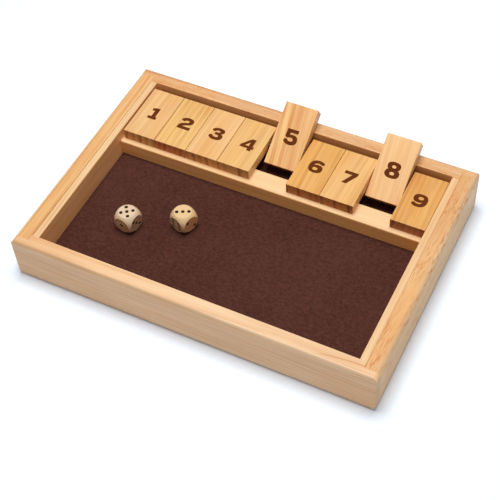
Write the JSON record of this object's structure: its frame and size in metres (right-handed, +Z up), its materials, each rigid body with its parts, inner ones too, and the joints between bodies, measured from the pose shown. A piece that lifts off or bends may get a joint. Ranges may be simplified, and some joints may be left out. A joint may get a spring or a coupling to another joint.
{
  "type": "shut the box dice game",
  "caption": "Wooden dice game tray with a felt floor, a shelf of numbered tiles that flip over on one steel rod, and loose rounded wooden dice.",
  "frame": {"origin": "centre of the tray's footprint, on the surface it stands on", "axes": "+X from tile 1 to tile 9, +Y from the player to the tiles, +Z up"},
  "size_m": [0.284, 0.1994, 0.0524],
  "materials": {
    "rail_wood": "clear satin lacquer over honey coloured pine",
    "strip_wood": "clear satin lacquer over pale pine",
    "panel_wood": "bare plywood",
    "shelf_wood": "clear satin lacquer over pale pine",
    "tile_wood": "clear satin lacquer over golden pine",
    "felt": "chocolate brown felt",
    "rod_steel": "drawn steel wire",
    "die_wood": "bare tumbled beech with black pips"
  },
  "bodies": {
    "tray": {"front_rail": "rail_wood", "back_rail": "rail_wood", "left_rail": "rail_wood", "right_rail": "rail_wood", "left_side_strip": "strip_wood", "right_side_strip": "strip_wood", "base_panel": "panel_wood", "felt_mat": "felt", "tile_shelf": "shelf_wood", "pivot_rod": "rod_steel"},
    "tile_1": {"tile_1": "tile_wood"},
    "tile_2": {"tile_2": "tile_wood"},
    "tile_3": {"tile_3": "tile_wood"},
    "tile_4": {"tile_4": "tile_wood"},
    "tile_5": {"tile_5": "tile_wood"},
    "tile_6": {"tile_6": "tile_wood"},
    "tile_7": {"tile_7": "tile_wood"},
    "tile_8": {"tile_8": "tile_wood"},
    "tile_9": {"tile_9": "tile_wood"},
    "die_1": {"die_1": "die_wood"},
    "die_2": {"die_2": "die_wood"}
  },
  "joints": [
    {"name": "tile_1_flip", "type": "hinge", "parent": "tray", "child": "tile_1", "pos_m": [-0.10956, 0.0671, 0.0308], "axis": [-1, 0, 0], "range_deg": [0, 147.9]},
    {"name": "tile_2_flip", "type": "hinge", "parent": "tray", "child": "tile_2", "pos_m": [-0.0825, 0.0671, 0.0308], "axis": [-1, 0, 0], "range_deg": [0, 147.9]},
    {"name": "tile_3_flip", "type": "hinge", "parent": "tray", "child": "tile_3", "pos_m": [-0.05545, 0.0671, 0.0308], "axis": [-1, 0, 0], "range_deg": [0, 147.9]},
    {"name": "tile_4_flip", "type": "hinge", "parent": "tray", "child": "tile_4", "pos_m": [-0.0284, 0.0671, 0.0308], "axis": [-1, 0, 0], "range_deg": [0, 147.9]},
    {"name": "tile_5_flip", "type": "hinge", "parent": "tray", "child": "tile_5", "pos_m": [0.0001, 0.0671, 0.0308], "axis": [1, 0, 0], "range_deg": [0, 147.9]},
    {"name": "tile_6_flip", "type": "hinge", "parent": "tray", "child": "tile_6", "pos_m": [0.0289, 0.0671, 0.0308], "axis": [-1, 0, 0], "range_deg": [0, 147.9]},
    {"name": "tile_7_flip", "type": "hinge", "parent": "tray", "child": "tile_7", "pos_m": [0.0559, 0.0671, 0.0308], "axis": [-1, 0, 0], "range_deg": [0, 147.9]},
    {"name": "tile_8_flip", "type": "hinge", "parent": "tray", "child": "tile_8", "pos_m": [0.083, 0.0671, 0.0308], "axis": [1, 0, 0], "range_deg": [0, 147.9]},
    {"name": "tile_9_flip", "type": "hinge", "parent": "tray", "child": "tile_9", "pos_m": [0.11116, 0.0671, 0.0308], "axis": [-1, 0, 0], "range_deg": [0, 147.9]},
    {"name": "die_1_lift", "type": "slide", "parent": "tray", "child": "die_1", "axis": [0, 0, 1], "range_m": [0, 0.06]},
    {"name": "die_2_lift", "type": "slide", "parent": "tray", "child": "die_2", "axis": [0, 0, 1], "range_m": [0, 0.06]}
  ]
}
